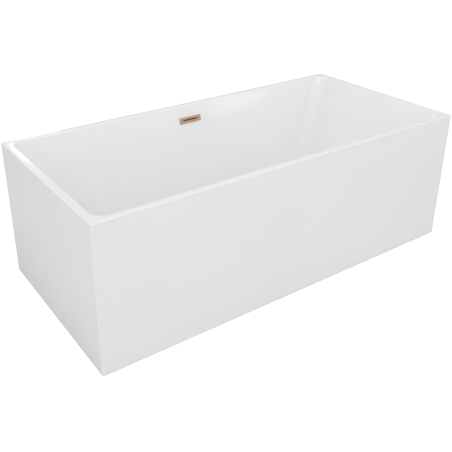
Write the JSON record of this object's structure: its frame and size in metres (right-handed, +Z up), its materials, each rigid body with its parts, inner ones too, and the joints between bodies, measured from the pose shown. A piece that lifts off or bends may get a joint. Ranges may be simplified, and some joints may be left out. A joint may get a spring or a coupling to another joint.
{
  "type": "freestanding bathtub",
  "caption": "Rectangular double-ended freestanding bath with a thin flat rim, straight skirt, slotted overflow, push plug, trap and levelling feet.",
  "frame": {"origin": "middle of the footprint, on the finished floor under the feet", "axes": "+X along the tub, +Y towards the long wall that carries the overflow, +Z up"},
  "size_m": [1.7, 0.8, 0.58],
  "materials": {
    "white_acrylic": "gloss white sanitary acrylic",
    "glass_fibre": "rough resin and chopped glass fibre, brushed on",
    "bonding_paste": "troweled bonding paste",
    "chipboard": "resin-sealed chipboard",
    "zinc_steel": "bright zinc plate",
    "grey_paint_steel": "satin grey powder coat",
    "black_plastic": "fine moulded grain",
    "white_plastic": "satin moulded polypropylene",
    "rose_gold": "satin rose-gold plate on brass",
    "rose_gold_cover": "satin rose-gold metallised moulding",
    "bright_steel": "polished stainless steel",
    "black_rubber": "soft moulded rubber",
    "clear_seal": "translucent silicone"
  },
  "bodies": {
    "tub": {"basin_shell": "white_acrylic", "basin_laminate": "glass_fibre", "skirt_shell": "white_acrylic", "skirt_laminate": "glass_fibre", "rim_bond_bead": "bonding_paste", "floor_board": "chipboard", "frame_rail_front": "grey_paint_steel", "frame_rail_back": "grey_paint_steel", "frame_crossbar_left": "grey_paint_steel", "frame_crossbar_mid": "grey_paint_steel", "frame_crossbar_right": "grey_paint_steel", "frame_weld_nuts": "zinc_steel", "frame_end_caps": "black_plastic", "skirt_brackets": "zinc_steel", "bracket_screws": "zinc_steel", "waste_flange": "rose_gold", "flange_seal": "clear_seal", "plug_cartridge": "white_plastic", "plug_spring": "bright_steel", "waste_gasket": "black_rubber", "waste_body": "white_plastic", "trap_union_nut": "white_plastic", "overflow_seal": "black_rubber", "overflow_housing": "black_plastic", "overflow_screws": "zinc_steel", "overflow_pipe": "white_plastic", "overflow_inlet_nut": "white_plastic"},
    "plug_rod": {"plug_stem": "bright_steel"},
    "plug": {"plug_cap": "rose_gold", "plug_seal": "black_rubber"},
    "trap": {"trap_drum": "white_plastic", "outlet_seal": "black_rubber", "outlet_nut": "white_plastic", "outlet_pipe": "white_plastic"},
    "overflow_trim": {"overflow_cover": "rose_gold_cover"},
    "foot_1": {"foot_1_pad": "black_plastic"},
    "stud_1": {"foot_1_stud": "zinc_steel", "foot_1_lock_nut": "zinc_steel"},
    "foot_2": {"foot_2_pad": "black_plastic"},
    "stud_2": {"foot_2_stud": "zinc_steel", "foot_2_lock_nut": "zinc_steel"},
    "foot_3": {"foot_3_pad": "black_plastic"},
    "stud_3": {"foot_3_stud": "zinc_steel", "foot_3_lock_nut": "zinc_steel"},
    "foot_4": {"foot_4_pad": "black_plastic"},
    "stud_4": {"foot_4_stud": "zinc_steel", "foot_4_lock_nut": "zinc_steel"},
    "foot_5": {"foot_5_pad": "black_plastic"},
    "stud_5": {"foot_5_stud": "zinc_steel", "foot_5_lock_nut": "zinc_steel"},
    "foot_6": {"foot_6_pad": "black_plastic"},
    "stud_6": {"foot_6_stud": "zinc_steel", "foot_6_lock_nut": "zinc_steel"}
  },
  "joints": [
    {"name": "plug_press", "type": "slide", "parent": "tub", "child": "plug_rod", "axis": [0, 0, -1], "range_m": [0, 0.008], "stiffness_N_per_m": 400, "springref_m": -0.008, "deforming": ["plug_spring"]},
    {"name": "plug_turn", "type": "hinge", "parent": "plug_rod", "child": "plug", "pos_m": [0, 0, 0.172], "axis": [0, 0, 1], "continuous": true},
    {"name": "trap_swivel", "type": "hinge", "parent": "tub", "child": "trap", "pos_m": [0, 0, 0.06], "axis": [0, 0, 1], "range_deg": [-90, 90]},
    {"name": "overflow_cover_pull", "type": "slide", "parent": "tub", "child": "overflow_trim", "axis": [0, -0.9681, 0.2504], "range_m": [0, 0.015]},
    {"name": "foot_1_height", "type": "slide", "parent": "tub", "child": "foot_1", "axis": [0, 0, -1], "range_m": [-0.003, 0.02]},
    {"name": "foot_1_screw", "type": "hinge", "parent": "foot_1", "child": "stud_1", "pos_m": [-0.52, -0.33, 0.03], "axis": [0, 0, -1], "range_deg": [-620, 4120]},
    {"name": "foot_2_height", "type": "slide", "parent": "tub", "child": "foot_2", "axis": [0, 0, -1], "range_m": [-0.003, 0.02]},
    {"name": "foot_2_screw", "type": "hinge", "parent": "foot_2", "child": "stud_2", "pos_m": [-0.52, 0.33, 0.03], "axis": [0, 0, -1], "range_deg": [-620, 4120]},
    {"name": "foot_3_height", "type": "slide", "parent": "tub", "child": "foot_3", "axis": [0, 0, -1], "range_m": [-0.003, 0.02]},
    {"name": "foot_3_screw", "type": "hinge", "parent": "foot_3", "child": "stud_3", "pos_m": [0.16, -0.33, 0.03], "axis": [0, 0, -1], "range_deg": [-620, 4120]},
    {"name": "foot_4_height", "type": "slide", "parent": "tub", "child": "foot_4", "axis": [0, 0, -1], "range_m": [-0.003, 0.02]},
    {"name": "foot_4_screw", "type": "hinge", "parent": "foot_4", "child": "stud_4", "pos_m": [0.16, 0.33, 0.03], "axis": [0, 0, -1], "range_deg": [-620, 4120]},
    {"name": "foot_5_height", "type": "slide", "parent": "tub", "child": "foot_5", "axis": [0, 0, -1], "range_m": [-0.003, 0.02]},
    {"name": "foot_5_screw", "type": "hinge", "parent": "foot_5", "child": "stud_5", "pos_m": [0.52, -0.33, 0.03], "axis": [0, 0, -1], "range_deg": [-620, 4120]},
    {"name": "foot_6_height", "type": "slide", "parent": "tub", "child": "foot_6", "axis": [0, 0, -1], "range_m": [-0.003, 0.02]},
    {"name": "foot_6_screw", "type": "hinge", "parent": "foot_6", "child": "stud_6", "pos_m": [0.52, 0.33, 0.03], "axis": [0, 0, -1], "range_deg": [-620, 4120]}
  ],
  "couplings": [
    {"joint": "foot_1_screw", "follows": "foot_1_height", "rad_per_m": 3590.4},
    {"joint": "foot_2_screw", "follows": "foot_2_height", "rad_per_m": 3590.4},
    {"joint": "foot_3_screw", "follows": "foot_3_height", "rad_per_m": 3590.4},
    {"joint": "foot_4_screw", "follows": "foot_4_height", "rad_per_m": 3590.4},
    {"joint": "foot_5_screw", "follows": "foot_5_height", "rad_per_m": 3590.4},
    {"joint": "foot_6_screw", "follows": "foot_6_height", "rad_per_m": 3590.4}
  ]
}
